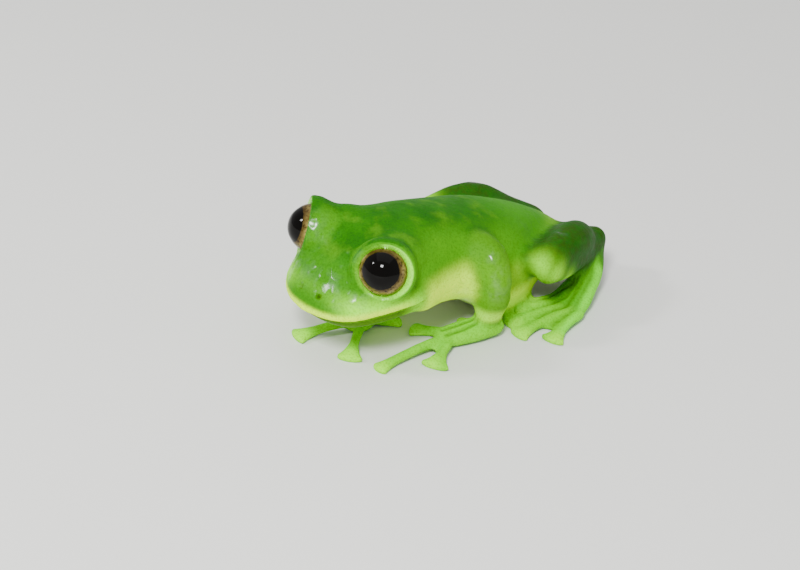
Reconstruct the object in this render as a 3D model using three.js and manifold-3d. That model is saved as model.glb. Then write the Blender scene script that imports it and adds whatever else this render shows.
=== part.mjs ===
// A glass frog at life size, as a still museum model: crouched on its belly with the head raised,
// hands turned in under the chin and hind legs folded.
// Millimetres, +Z up. The frog faces -Y and its left side is +X.
import * as THREE from "three";
import { mergeVertices } from "three/addons/utils/BufferGeometryUtils.js";
import Module from "manifold-3d";

const wasm = await Module();
wasm.setup();

// Driving sizes
const SNOUT_VENT = 23.5; // length from the snout to the vent
const SNOUT_Y = -12.3; // where the snout ends, with the shoulders near zero
const VENT_Y = SNOUT_Y + SNOUT_VENT;
const GAP = 0.3; // between neighbouring solids
const EYE_RADIUS = 0.0664 * SNOUT_VENT;
const LID_THICKNESS = 0.21;
const LID_HEIGHT = 0.55; // the lids end this far in front of the middle of the eye
const LIP_OVERHANG = 0.42; // the upper lip stands out past the lower jaw
const NECK_Y = -4.3;
const FLOOR_SINK = 0.06; // soles are modelled this far into the floor and trimmed flat

// Faces round and along the lofts
const BODY_SIDES = 28;
const BODY_RINGS = 38;
const LIMB_SIDES = 10;
const DIGIT_SIDES = 8;

const vec = (x, y, z) => new THREE.Vector3(x, y, z);

// Smooth value through [position, value] pairs
function graph(pairs) {
  const points = pairs.map(([at, value]) => vec(at, value, 0));
  const slopes = points.map((point, i) => {
    const before = points[Math.max(i - 1, 0)];
    const after = points[Math.min(i + 1, points.length - 1)];
    return (after.y - before.y) / (after.x - before.x);
  });
  return (at) => {
    const last = points.length - 2;
    let i = 0;
    while (i < last && at > points[i + 1].x) i += 1;
    const span = points[i + 1].x - points[i].x;
    const t = THREE.MathUtils.clamp((at - points[i].x) / span, 0, 1);
    const t2 = t * t;
    const t3 = t2 * t;
    return (
      (2 * t3 - 3 * t2 + 1) * points[i].y +
      (t3 - 2 * t2 + t) * span * slopes[i] +
      (3 * t2 - 2 * t3) * points[i + 1].y +
      (t3 - t2) * span * slopes[i + 1]
    );
  };
}

// A closed three.js geometry as a solid
function solid(geometry) {
  const bare = geometry.clone();
  bare.deleteAttribute("normal");
  bare.deleteAttribute("uv");
  const merged = mergeVertices(bare, 1e-4);
  return new wasm.Manifold(
    new wasm.Mesh({
      numProp: 3,
      vertProperties: new Float32Array(merged.attributes.position.array),
      triVerts: new Uint32Array(merged.index.array),
    }),
  );
}

// Skins a row of rings, each a loop of as many points, and closes both ends on a centre point
function loft(rings, firstCentre, lastCentre) {
  const sides = rings[0].length;
  const points = [...rings.flat(), firstCentre, lastCentre];
  const first = points.length - 2;
  const last = points.length - 1;
  const faces = [];
  for (let i = 0; i < rings.length; i += 1) {
    for (let j = 0; j < sides; j += 1) {
      const a = i * sides + j;
      const b = i * sides + ((j + 1) % sides);
      if (i === 0) faces.push(first, b, a);
      if (i === rings.length - 1) faces.push(last, a, b);
      else faces.push(a, b, b + sides, a, b + sides, a + sides);
    }
  }
  const geometry = new THREE.BufferGeometry().setFromPoints(points);
  geometry.setIndex(faces);
  const made = solid(geometry);
  if (made.volume() > 0) return made;
  for (let i = 0; i < faces.length; i += 3) {
    [faces[i + 1], faces[i + 2]] = [faces[i + 2], faces[i + 1]];
  }
  geometry.setIndex(faces);
  return solid(geometry);
}

// A limb or digit through stops [x, y, z, half-width, half-height], with round ends.
// Its flat side lies level. Grown by a margin it is the room that a neighbour keeps clear of.
function limb(stops, sides, stepsPerSpan, grow = 0) {
  const path = new THREE.CatmullRomCurve3(
    stops.map(([x, y, z]) => vec(x, y, z)),
    false,
    "centripetal",
  );
  const spans = stops.length - 1;
  const wide = graph(stops.map((stop, i) => [i, stop[3] + grow]));
  const high = graph(stops.map((stop, i) => [i, (stop[4] ?? stop[3]) + grow]));
  const steps = spans * stepsPerSpan;
  const capSteps = 3;
  const rows = [];
  for (let i = -capSteps; i <= steps + capSteps; i += 1) {
    const past = i < 0 ? -i : Math.max(i - steps, 0);
    const t = THREE.MathUtils.clamp(i / steps, 0, 1);
    rows.push({ t, past: past / (capSteps + 0.35), side: Math.sign(i) || -1 });
  }
  const ring = ({ t, past, side }) => {
    const along = path.getTangent(t);
    const across = vec(0, 0, 1).cross(along);
    if (across.length() < 0.2) across.set(1, 0, 0);
    across.normalize();
    const up = along.clone().cross(across).normalize();
    const angle = (past * Math.PI) / 2;
    const w = wide(t * spans);
    const h = high(t * spans);
    const centre = path.getPoint(t).addScaledVector(along, side * Math.min(w, h) * Math.sin(angle));
    return Array.from({ length: sides }, (_, k) => {
      const turn = ((k + 0.5) / sides) * 2 * Math.PI;
      return centre
        .clone()
        .addScaledVector(across, w * Math.cos(angle) * Math.cos(turn))
        .addScaledVector(up, h * Math.cos(angle) * Math.sin(turn));
    });
  };
  const rings = rows.map(ring);
  const endOf = (t, side) => {
    const reach = Math.min(wide(t * spans), high(t * spans));
    return path.getPoint(t).addScaledVector(path.getTangent(t), side * reach);
  };
  return loft(rings, endOf(0, -1), endOf(1, 1));
}

// Head and torso in one: half-width, back line, height of the widest point and belly line along Y
const BODY = {
  halfWidth: graph([
    [-12.3, 2.2], [-11.5, 2.8], [-10.5, 3.45], [-9, 4.25], [-7.4, 4.75], [-5.9, 4.7], [-4.4, 4.35],
    [-2.5, 4.15], [0.5, 4.35], [2.5, 4.35], [4, 4.0], [5.4, 3.25], [7, 2.75], [9, 2.3], [11.2, 1.6],
  ]),
  top: graph([
    [-12.3, 4.9], [-11.5, 5.7], [-10.5, 6.55], [-9, 7.7], [-7.4, 8.4], [-5.9, 8.65], [-4.4, 8.6],
    [-2.5, 8.3], [0.5, 7.6], [3.5, 6.9], [6.5, 5.85], [9, 4.55], [11.2, 3.2],
  ]),
  widest: graph([[-12.3, 4.0], [-11, 4.1], [-9, 4.4], [-4.4, 4.8], [0.5, 4.0], [6.5, 2.9], [11.2, 2.4]]),
  bottom: graph([
    [-12.3, 2.8], [-11.5, 2.6], [-10.5, 2.5], [-9, 2.55], [-7.4, 2.65], [-5.9, 2.7], [-4.4, 2.8],
    [-2.5, 2.6], [-0.5, 1.8], [1, 0.7], [2.3, 0.0], [3.2, -FLOOR_SINK], [5.4, -FLOOR_SINK], [7, 0.4],
    [9, 1.0], [11.2, 1.5],
  ]),
  squareness: 0.56, // of the belly; one would be an ellipse
  frontRound: 1.7, // length over which the snout closes
  rearRound: 1.8,
};

function body(grow = 0) {
  const from = SNOUT_Y - grow;
  const to = VENT_Y + grow;
  const rounding = (y) => {
    const front = Math.min((y - from) / BODY.frontRound, 1);
    const rear = Math.min((to - y) / BODY.rearRound, 1);
    return Math.sqrt(1 - (1 - front) ** 2) * Math.sqrt(1 - (1 - rear) ** 2);
  };
  const rings = [];
  for (let i = 1; i < BODY_RINGS; i += 1) {
    const turn = (i / BODY_RINGS) * Math.PI;
    const eased = 0.5 * (i / BODY_RINGS) + 0.5 * 0.5 * (1 - Math.cos(turn));
    const y = from + (to - from) * eased;
    const w = (BODY.halfWidth(y) + grow) * rounding(y);
    const middle = BODY.widest(y);
    const over = (BODY.top(y) + grow - middle) * rounding(y);
    const under = (middle - BODY.bottom(y) + grow) * rounding(y);
    rings.push(
      Array.from({ length: BODY_SIDES }, (_, k) => {
        const angle = (k / BODY_SIDES) * 2 * Math.PI;
        const c = Math.cos(angle);
        const s = Math.sin(angle);
        const z = s > 0 ? over * s : -under * Math.abs(s) ** BODY.squareness;
        return vec(w * Math.sign(c) * Math.abs(c) ** 0.9, y, middle + z);
      }),
    );
  }
  return loft(rings, vec(0, from, BODY.widest(from)), vec(0, to, BODY.widest(to)));
}

// A block between two corners
function block(low, high) {
  const size = high.clone().sub(low);
  const middle = low.clone().add(high).multiplyScalar(0.5);
  const geometry = new THREE.BoxGeometry(size.x, size.y, size.z);
  return solid(geometry.translate(middle.x, middle.y, middle.z));
}

// A ball as a solid
function ball(centre, radius, turns = 20) {
  const geometry = new THREE.SphereGeometry(radius, turns, Math.round(turns * 0.7));
  return solid(geometry.translate(centre.x, centre.y, centre.z));
}

// A round peg from a point along a direction
function peg(start, direction, radiusStart, radiusEnd, length, sides) {
  const geometry = new THREE.CylinderGeometry(radiusEnd, radiusStart, length, sides);
  geometry.translate(0, length / 2, 0);
  const turn = new THREE.Quaternion().setFromUnitVectors(vec(0, 1, 0), direction.clone().normalize());
  geometry.applyQuaternion(turn);
  return solid(geometry.translate(start.x, start.y, start.z));
}

// The lids open outward, forward and a little up
const EYE = { x: 3.33, y: -8.75, z: 7.15 };
const eyeCentre = (side) => vec(side * EYE.x, EYE.y, EYE.z);
const lidAxis = (side) => vec(side * 0.62, -0.7, 0.18).normalize();

// The lids: a shell round the back of the eye that ends on a level rim, with the brow behind it
const BROW = { x: 2.15, y: -6.9, z: 6.45, radius: 2.2 };
function eyeMound(side) {
  const rim = eyeCentre(side).addScaledVector(lidAxis(side), LID_HEIGHT);
  const beyond = peg(rim, lidAxis(side), 2 * EYE_RADIUS, 2 * EYE_RADIUS, 2 * EYE_RADIUS, 12);
  const brow = ball(vec(side * BROW.x, BROW.y, BROW.z), BROW.radius, 14);
  return ball(eyeCentre(side), EYE_RADIUS + GAP + LID_THICKNESS, 22).subtract(beyond).add(brow);
}

function eyeSocket(side) {
  const wide = EYE_RADIUS + GAP * 0.9;
  const opening = peg(eyeCentre(side), lidAxis(side), wide, wide + 0.5, 4, 22);
  return ball(eyeCentre(side), EYE_RADIUS + GAP, 18).add(opening);
}

// Nostrils, near the end of the snout
const NOSTRIL = { x: 0.9, y: -11.75, z: 5.1, radius: 0.2, depth: 0.6 };
function nostril(side) {
  const outward = vec(side * 0.55, -0.62, 0.56).normalize();
  const start = vec(side * NOSTRIL.x, NOSTRIL.y, NOSTRIL.z).addScaledVector(outward, -NOSTRIL.depth);
  return peg(start, outward, NOSTRIL.radius * 0.5, NOSTRIL.radius * 1.6, 2 * NOSTRIL.depth, 8);
}

// The mouth line from the snout's tip to the corner of the mouth, seen from the side as [y, z]
const MOUTH = [
  [-15, 3.55], [-12.3, 3.55], [-11.6, 3.56], [-10.5, 3.82], [-9, 4.15], [-7.6, 4.4], [-6.2, 4.6],
];
const THROAT_Y = -5.5; // where the parting below the mouth's corner meets the throat

// All that lies under the mouth line and in front of the throat, moved out by a margin
function jawRegion(grow) {
  const outline = new THREE.Shape();
  const points = MOUTH.map(([y, z], i) => {
    const last = i === MOUTH.length - 1;
    return new THREE.Vector2(y + (last ? grow : 0), z + (last ? grow * 0.5 : grow));
  });
  outline.moveTo(points[0].x, points[0].y);
  outline.splineThru(points.slice(1));
  outline.lineTo(THROAT_Y + grow, -1);
  outline.lineTo(-15, -1);
  outline.closePath();
  const geometry = new THREE.ExtrudeGeometry(outline, { depth: 14, bevelEnabled: false, curveSegments: 16 });
  // The outline's x runs along Y and its y up Z
  const turn = new THREE.Matrix4().makeBasis(vec(0, 1, 0), vec(0, 0, 1), vec(1, 0, 0));
  return solid(geometry.applyMatrix4(turn).translate(-7, 0, 0));
}

function head() {
  const front = block(vec(-10, -20, -5), vec(10, NECK_Y - GAP / 2, 15));
  let made = body().intersect(front).add(eyeMound(1)).add(eyeMound(-1));
  for (const side of [1, -1]) made = made.subtract(eyeSocket(side)).subtract(nostril(side));
  return made.subtract(jawRegion(GAP));
}

const lowerJaw = () => body(-LIP_OVERHANG).intersect(jawRegion(0));
const torso = () => body().intersect(block(vec(-10, NECK_Y + GAP / 2, -5), vec(10, 20, 15)));

// Limbs as stops [x, y, z, half-width, half-height] for the left side; the right is turned over.
// The two arms are held differently.
const ARM = {
  left: {
    shoulder: [3.6, -0.4, 6.2], elbow: [5.4, -0.5, 4.6], wrist: [4.3, 0.2, 1.2], raise: 0.6,
    palm: [
      [4.45, 0.5, 0.75, 0.85, 0.7], [4.05, -1.0, 0.62, 1.05, 0.66], [3.65, -2.6, 0.48, 1.0, 0.5],
      [3.6, -3.2, 0.45, 0.8, 0.42],
    ],
    fingers: [
      { root: [3.3, -1.5], tip: [2.4, 0.1], pad: 0.6 },
      { root: [3.0, -2.6], tip: [1.1, -3.65], pad: 0.8 },
      { root: [3.7, -3.1], tip: [3.65, -8.9], pad: 0.62 },
      { root: [4.1, -2.8], tip: [5.5, -5.75], pad: 1.05 },
    ],
  },
  right: {
    shoulder: [3.0, -2.6, 5.2], elbow: [6.0, -1.6, 3.7], wrist: [2.2, -4.0, 1.0], raise: 0.2,
    palm: [
      [2.1, -4.2, 0.75, 0.8, 0.62], [1.6, -5.2, 0.5, 0.9, 0.52], [1.1, -6.2, 0.48, 0.95, 0.5],
      [0.95, -6.7, 0.45, 0.8, 0.42],
    ],
    fingers: [
      { root: [1.5, -4.9], tip: [1.15, -2.8], pad: 0.65 },
      { root: [0.9, -5.7], tip: [0.0, -3.5], pad: 0.7 },
      { root: [0.6, -6.5], tip: [-1.72, -9.55], pad: 0.92 },
      { root: [1.3, -6.6], tip: [2.45, -10.5], pad: 0.9 },
    ],
  },
};

const LEG = {
  left: {
    hip: [2.0, 10.2, 2.9], seat: [3.1, 9.3, 3.7], middle: [4.0, 7.6, 4.3], knee: [5.2, 4.2, 4.6],
    heel: [2.8, 11.5, 3.0],
  },
  right: {
    hip: [2.0, 10.2, 2.5], seat: [3.0, 8.6, 3.2], middle: [3.9, 6.0, 4.55], knee: [5.5, 3.0, 3.5],
    heel: [2.7, 11.2, 1.8],
  },
};
const TARSUS = [
  [3.8, 10.5, 1.4, 0.9], [4.5, 8.9, 1.0, 1.15, 0.8], [5.1, 7.4, 0.7, 1.4, 0.62], [5.6, 6.6, 0.5, 1.25, 0.48],
];
const TOES = [
  { root: [4.3, 8.2], tip: [3.4, 5.0], pad: 0.6 },
  { root: [4.8, 7.2], tip: [3.5, 3.5], pad: 0.65 },
  { root: [5.4, 6.3], tip: [4.3, 2.0], pad: 0.8 },
  { root: [6.0, 6.2], tip: [5.75, 1.45], pad: 0.85 },
  { root: [6.6, 6.5], tip: [7.6, 2.8], pad: 0.9 },
];

const mirror = (side, stops) => stops.map(([x, ...rest]) => [side * x, ...rest]);
const between = (a, b, t) => a.slice(0, 3).map((value, i) => value + (b[i] - value) * t);

function upperArm(arm) {
  const middle = between(arm.shoulder, arm.elbow, 0.55);
  middle[2] += arm.raise;
  return [[...arm.shoulder, 1.15], [...middle, 1.12], [...arm.elbow, 0.95]];
}
function forearm(arm) {
  return [[...arm.elbow, 0.85], [...between(arm.elbow, arm.wrist, 0.4), 1.08], [...arm.wrist, 0.68]];
}
const thigh = (leg) => [[...leg.hip, 1.3], [...leg.seat, 1.35], [...leg.middle, 1.4], [...leg.knee, 1.1]];
function shank(leg) {
  const below = [leg.knee[0] + 0.3, leg.knee[1] - 0.2, leg.knee[2] - 0.5];
  return [[...below, 0.95], [...between(below, leg.heel, 0.35), 1.25], [...leg.heel, 0.95]];
}
const foot = (leg) => [[leg.heel[0], leg.heel[1] + 0.2, leg.heel[2] - 0.3, 0.7], ...TARSUS];

// A finger or toe: slim, arched a little, and ending in a broad flat pad
const DIGIT = { halfWidth: 0.31, padHalfHeight: 0.28, arch: 0.12, padLength: 1.5 };
function digit({ root, tip, pad }) {
  const at = (t) => [root[0] + (tip[0] - root[0]) * t, root[1] + (tip[1] - root[1]) * t];
  const length = Math.hypot(tip[0] - root[0], tip[1] - root[1]);
  const neck = Math.max(1 - DIGIT.padLength / length, 0.3);
  const rest = DIGIT.padHalfHeight - FLOOR_SINK;
  return [
    [...at(0), 0.5, DIGIT.halfWidth * 1.2],
    [...at(neck * 0.55), 0.42 + DIGIT.arch, DIGIT.halfWidth],
    [...at(neck), rest + 0.16, DIGIT.halfWidth],
    [...at(1 - (1 - neck) * 0.45), rest + 0.04, DIGIT.halfWidth + (pad - DIGIT.halfWidth) * 0.5, DIGIT.padHalfHeight],
    [...at(1 - 0.25 / length), rest - 0.03, pad, DIGIT.padHalfHeight],
  ];
}

// A thin web that fills the angle between a toe and the next one out
const WEB = { reach: 0.55, thickness: 0.5 };
function web(toe, next, side) {
  const along = ({ root, tip }, t) => new THREE.Vector2(
    side * (root[0] + (tip[0] - root[0]) * t),
    root[1] + (tip[1] - root[1]) * t,
  );
  const outline = new THREE.Shape([
    along(toe, 0), along(next, 0), along(next, WEB.reach), along(toe, WEB.reach),
  ]);
  return solid(new THREE.ExtrudeGeometry(outline, { depth: WEB.thickness, bevelEnabled: false }));
}

// Nodes in the order in which each gives way to those before it
const pieces = [
  { name: "eye_left", colour: 0x0a0a08, make: (grow) => ball(eyeCentre(1), EYE_RADIUS + grow), keepsClear: false },
  { name: "eye_right", colour: 0x0a0a08, make: (grow) => ball(eyeCentre(-1), EYE_RADIUS + grow), keepsClear: false },
  { name: "head", colour: 0x5aa814, make: (grow) => (grow ? body(grow) : head()), keepsClear: false },
  { name: "lower_jaw", colour: 0xc8dc78, make: (grow) => (grow ? body(grow) : lowerJaw()), keepsClear: false },
  { name: "torso", colour: 0x66aa18, make: (grow) => (grow ? body(grow) : torso()), keepsClear: false },
];

function addLimb(name, colour, stops, sides = LIMB_SIDES, stepsPerSpan = 4) {
  pieces.push({ name, colour, make: (grow) => limb(stops, sides, stepsPerSpan, grow), keepsClear: true });
}

// The outermost toe first, so that each web ends at the toe outside it
function addToes(word, side) {
  for (let i = TOES.length - 1; i >= 0; i -= 1) {
    const stops = mirror(side, digit(TOES[i]));
    const bare = (grow) => limb(stops, DIGIT_SIDES, 2, grow);
    const next = TOES[i + 1];
    const make = (grow) => (next && !grow ? bare(0).add(web(TOES[i], next, side)) : bare(grow));
    pieces.push({ name: `toe_${word}_${i + 1}`, colour: 0xb4d878, make, keepsClear: true });
  }
}

const SIDES = [["left", 1], ["right", -1]];
for (const [word, side] of SIDES) {
  const arm = ARM[word];
  const leg = LEG[word];
  addLimb(`thigh_${word}`, 0x5f9a1c, mirror(side, thigh(leg)), 12, 3);
  addLimb(`shank_${word}`, 0x6fae22, mirror(side, shank(leg)));
  addLimb(`upper_arm_${word}`, 0x70b024, mirror(side, upperArm(arm)));
  addLimb(`forearm_${word}`, 0x7cba2c, mirror(side, forearm(arm)));
  addLimb(`hand_${word}`, 0xa6cf62, mirror(side, arm.palm), LIMB_SIDES, 3);
  addLimb(`foot_${word}`, 0x9ac850, mirror(side, foot(leg)), LIMB_SIDES, 3);
  arm.fingers.forEach((finger, i) => {
    addLimb(`finger_${word}_${i + 1}`, 0xb4d878, mirror(side, digit(finger)), DIGIT_SIDES, 2);
  });
  addToes(word, side);
}

const underFloor = block(vec(-30, -30, -10), vec(30, 30, 0));

const frog = new THREE.Group();
const cleared = [];
for (const piece of pieces) {
  let made = piece.make(0).subtract(underFloor);
  if (piece.keepsClear) {
    for (const room of cleared) made = made.subtract(room);
  }
  made = made.decompose().reduce((largest, one) => (one.volume() > largest.volume() ? one : largest));
  cleared.push(piece.make(GAP));
  const mesh = made.getMesh();
  const geometry = new THREE.BufferGeometry();
  geometry.setAttribute("position", new THREE.BufferAttribute(new Float32Array(mesh.vertProperties), 3));
  geometry.setIndex(new THREE.BufferAttribute(new Uint32Array(mesh.triVerts), 1));
  geometry.computeVertexNormals();
  const material = new THREE.MeshStandardMaterial({ color: piece.colour, roughness: 0.35, metalness: 0 });
  const node = new THREE.Mesh(geometry, material);
  node.name = piece.name;
  frog.add(node);
}

// The origin is under the middle of the frog, on the floor
const box = new THREE.Box3().setFromObject(frog);
frog.position.set(-(box.min.x + box.max.x) / 2, -(box.min.y + box.max.y) / 2, -box.min.z);

export default frog;
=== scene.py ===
"""Dresses the glass frog: one moist skin over its flesh, two wet eyes, and a plain studio."""

import logging
import math
from dataclasses import dataclass, field
from enum import Enum

import bpy
import numpy as np
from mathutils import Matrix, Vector
from mathutils.kdtree import KDTree


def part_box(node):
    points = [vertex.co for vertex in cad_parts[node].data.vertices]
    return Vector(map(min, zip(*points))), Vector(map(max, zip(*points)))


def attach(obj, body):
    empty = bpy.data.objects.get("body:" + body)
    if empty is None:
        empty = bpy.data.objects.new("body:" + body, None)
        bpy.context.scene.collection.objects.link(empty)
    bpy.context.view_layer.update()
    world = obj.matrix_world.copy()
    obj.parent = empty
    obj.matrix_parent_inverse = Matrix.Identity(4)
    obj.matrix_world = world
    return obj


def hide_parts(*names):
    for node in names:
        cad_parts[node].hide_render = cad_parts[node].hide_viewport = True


log = logging.getLogger("glass_frog")

MM = 0.001

# The middle of the left eye in the drawing's own millimetres, which places the drawing in the frame
LEFT_EYE_DRAWN = (3.33, -8.75, 7.15)

# How far one round of smoothing moves a point, or a value, towards the average of its neighbours
SMOOTHING = 0.5

# Stops of a line seen from above or from the side, as two drawn coordinates in mm
Path = tuple[tuple[float, float], ...]

# Soft round patches as drawn x, y, z and reach in mm, the same on both sides of the frog
Patches = tuple[tuple[float, float, float, float], ...]


class Side(Enum):
    """A side of the frog, with the sign of its X."""

    LEFT = 1
    RIGHT = -1


# Where each eye looks; the right pupil sits a little lower than the left
GAZE = {Side.LEFT: (0.52, -0.74, 0.4), Side.RIGHT: (-0.5, -0.8, 0.24)}


class Region(Enum):
    """What a patch of the skin belongs to."""

    HEAD = "head"
    JAW = "jaw"
    TRUNK = "trunk"
    ARM = "arm"
    LEG = "leg"
    SOLE = "sole"
    DIGIT = "digit"


REGION_OF_NODE = {
    "head": Region.HEAD,
    "torso": Region.TRUNK,
    "lower_jaw": Region.JAW,
    "upper_arm": Region.ARM,
    "forearm": Region.ARM,
    "thigh": Region.LEG,
    "shank": Region.LEG,
    "foot": Region.SOLE,
    "hand": Region.DIGIT,
    "finger": Region.DIGIT,
    "toe": Region.DIGIT,
}

# How far each region is swelled, in mm, to close the gaps and round the creases between the solids
SWELL = {
    Region.HEAD: 0.2,
    Region.JAW: 0.16,
    Region.TRUNK: 0.36,
    Region.ARM: 0.34,
    Region.LEG: 0.34,
    Region.SOLE: 0.24,
    Region.DIGIT: 0.175,
}


def region_of(node: str) -> Region:
    """Gives the region of a node by its name, whichever its side."""
    return REGION_OF_NODE[node.split("_left")[0].split("_right")[0]]


@dataclass(frozen=True)
class Fade:
    """A smooth change from 0 to 1, without a corner.

    Args:
        start: The value at which it leaves 0.
        end: The value at which it reaches 1, above the start or below it.
    """

    start: float
    end: float

    def of(self, value: np.ndarray) -> np.ndarray:
        """Gives the share at each value."""
        t = np.clip((value - self.start) / (self.end - self.start), 0, 1)
        return t * t * (3 - 2 * t)

    def scaled(self, by: float) -> "Fade":
        """Gives the same change in another unit."""
        return Fade(self.start * by, self.end * by)


def bell(value: np.ndarray, width: float) -> np.ndarray:
    """Gives 1 where the value is 0, and hardly anything from twice the width on."""
    return np.exp(-((value / width) ** 2))


@dataclass(frozen=True)
class Drawing:
    """Places the drawing, which is in millimetres, in the frame.

    Args:
        origin: Where the drawing's zero lies in the frame, in metres.
    """

    origin: Vector

    @classmethod
    def from_frame(cls) -> "Drawing":
        """Finds the drawing's zero from the left eye's node."""
        low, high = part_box("eye_left")
        return cls((low + high) / 2 - Vector(LEFT_EYE_DRAWN) * MM)

    def place(self, x: float, y: float, z: float) -> Vector:
        """Gives a drawn point in the frame's metres."""
        return self.origin + Vector((x, y, z)) * MM

    def drawn(self, points: np.ndarray) -> np.ndarray:
        """Gives the frame's points, in mm, in the drawing's own."""
        return points - np.array(self.origin) / MM


def deselect() -> None:
    """Leaves nothing selected and nothing in edit mode."""
    if bpy.context.object and bpy.context.object.mode != "OBJECT":
        bpy.ops.object.mode_set(mode="OBJECT")
    bpy.ops.object.select_all(action="DESELECT")


def activate(piece: bpy.types.Object) -> None:
    """Makes a piece the only one selected, and active.

    Args:
        piece: The mesh object.
    """
    deselect()
    piece.select_set(True)
    bpy.context.view_layer.objects.active = piece


def points_of(piece: bpy.types.Object) -> np.ndarray:
    """Gives a mesh's points.

    Args:
        piece: The mesh object.

    Returns:
        Rows of x, y and z.
    """
    flat = np.zeros(len(piece.data.vertices) * 3)
    piece.data.vertices.foreach_get("co", flat)
    return flat.reshape(-1, 3)


def set_points(piece: bpy.types.Object, points: np.ndarray) -> None:
    """Moves a mesh's points to the rows given."""
    piece.data.vertices.foreach_set("co", points.astype(np.float32).ravel())
    piece.data.update()


def normals_of(piece: bpy.types.Object) -> np.ndarray:
    """Gives the outward direction at each point of a mesh.

    Args:
        piece: The mesh object.

    Returns:
        Rows of x, y and z.
    """
    flat = np.zeros(len(piece.data.vertices) * 3)
    piece.data.vertex_normals.foreach_get("vector", flat)
    return flat.reshape(-1, 3)


def push_points(piece: bpy.types.Object, way: np.ndarray, amount: np.ndarray) -> None:
    """Moves each point along its own or one common direction, by its own amount."""
    set_points(piece, points_of(piece) + way * amount[:, None])


def spread(piece: bpy.types.Object, values: np.ndarray, rounds: int) -> np.ndarray:
    """Averages a value at each point with its neighbours'.

    Args:
        piece: The mesh object.
        values: One number per point.
        rounds: How many times to average.

    Returns:
        The averaged numbers.
    """
    ends = np.zeros(len(piece.data.edges) * 2, dtype=np.int64)
    piece.data.edges.foreach_get("vertices", ends)
    a, b = ends[0::2], ends[1::2]
    count = np.maximum(np.bincount(ends, minlength=len(values)).astype(float), 1)
    for _ in range(rounds):
        total = np.bincount(a, values[b], len(values)) + np.bincount(b, values[a], len(values))
        values = (1 - SMOOTHING) * values + SMOOTHING * total / count
    return values


def averaged(piece: bpy.types.Object, rounds: int) -> np.ndarray:
    """Gives where each point would lie once it is averaged with those round it."""
    points = points_of(piece)
    return np.column_stack([spread(piece, points[:, axis], rounds) for axis in range(3)])


def ease_points(piece: bpy.types.Object, share: np.ndarray, rounds: int) -> None:
    """Moves each point towards the average of those round it.

    Args:
        piece: The mesh object.
        share: How much of the way each point goes, from 0 to 1.
        rounds: How many times to average.
    """
    points = points_of(piece)
    set_points(piece, points + (averaged(piece, rounds) - points) * share[:, None])


def resize(piece: bpy.types.Object, factor: float) -> None:
    """Scales a mesh about the frame's origin.

    Args:
        piece: The mesh object.
        factor: How many times as large it becomes.
    """
    activate(piece)
    bpy.ops.object.mode_set(mode="EDIT")
    bpy.ops.mesh.select_all(action="SELECT")
    bpy.ops.transform.resize(value=(factor,) * 3, center_override=(0, 0, 0))
    bpy.ops.object.mode_set(mode="OBJECT")


def apply_modifier(piece: bpy.types.Object, kind: str, **settings: object) -> None:
    """Adds one modifier and applies it.

    Args:
        piece: The mesh object.
        kind: The modifier's type.
        settings: Values of the modifier's fields.
    """
    activate(piece)
    modifier = piece.modifiers.new(kind.lower(), kind)
    for name, value in settings.items():
        setattr(modifier, name, value)
    bpy.ops.object.modifier_apply(modifier=modifier.name)


def smooth(piece: bpy.types.Object, rounds: int) -> None:
    """Evens a whole mesh."""
    apply_modifier(piece, "SMOOTH", factor=SMOOTHING, iterations=rounds)


def distance_to_path(at: np.ndarray, path: Path) -> np.ndarray:
    """Measures, seen from above, how far points are from a line; both sides share the line.

    Args:
        at: Drawn points, in mm.
        path: The line's stops as x and y.

    Returns:
        One distance per point, in mm.
    """
    flat = np.column_stack([np.abs(at[:, 0]), at[:, 1]])
    nearest = np.full(len(at), np.inf)
    for start, end in zip(path, path[1:]):
        run = np.subtract(end, start)
        share = np.clip((flat - start) @ run / (run @ run), 0, 1)
        nearest = np.minimum(nearest, np.linalg.norm(flat - start - share[:, None] * run, axis=1))
    return nearest


def depth_in_patches(at: np.ndarray, patches: Patches) -> np.ndarray:
    """Tells how deep points lie in soft round patches.

    Args:
        at: Drawn points, in mm.
        patches: The patches of one side.

    Returns:
        One share per point, 1 in the middle of a patch.
    """
    mirrored = np.column_stack([np.abs(at[:, 0]), at[:, 1:]])
    depth = np.zeros(len(at))
    for *middle, reach in patches:
        depth = np.maximum(depth, bell(np.linalg.norm(mirrored - middle, axis=1), reach))
    return depth


def light_of(step: float) -> float:
    """Turns a screen's step, from 0 to 255, into light, by the usual curve of screens."""
    share = step / 255
    return share / 12.92 if share <= 0.04045 else ((share + 0.055) / 1.055) ** 2.4


@dataclass(frozen=True)
class Shade:
    """A colour as it looks, in 0 to 255 steps."""

    red: float
    green: float
    blue: float

    def linear(self) -> tuple[float, float, float, float]:
        """Gives the colour as light, for a shader socket."""
        return light_of(self.red), light_of(self.green), light_of(self.blue), 1.0


@dataclass(frozen=True)
class Blotches:
    """Soft blotches in a finish.

    Args:
        size: About how wide they are, in mm.
        ragged: How many finer blotches are laid over them.
        taken: The range of the pattern over which they set in.
    """

    size: float
    ragged: float
    taken: Fade


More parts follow.
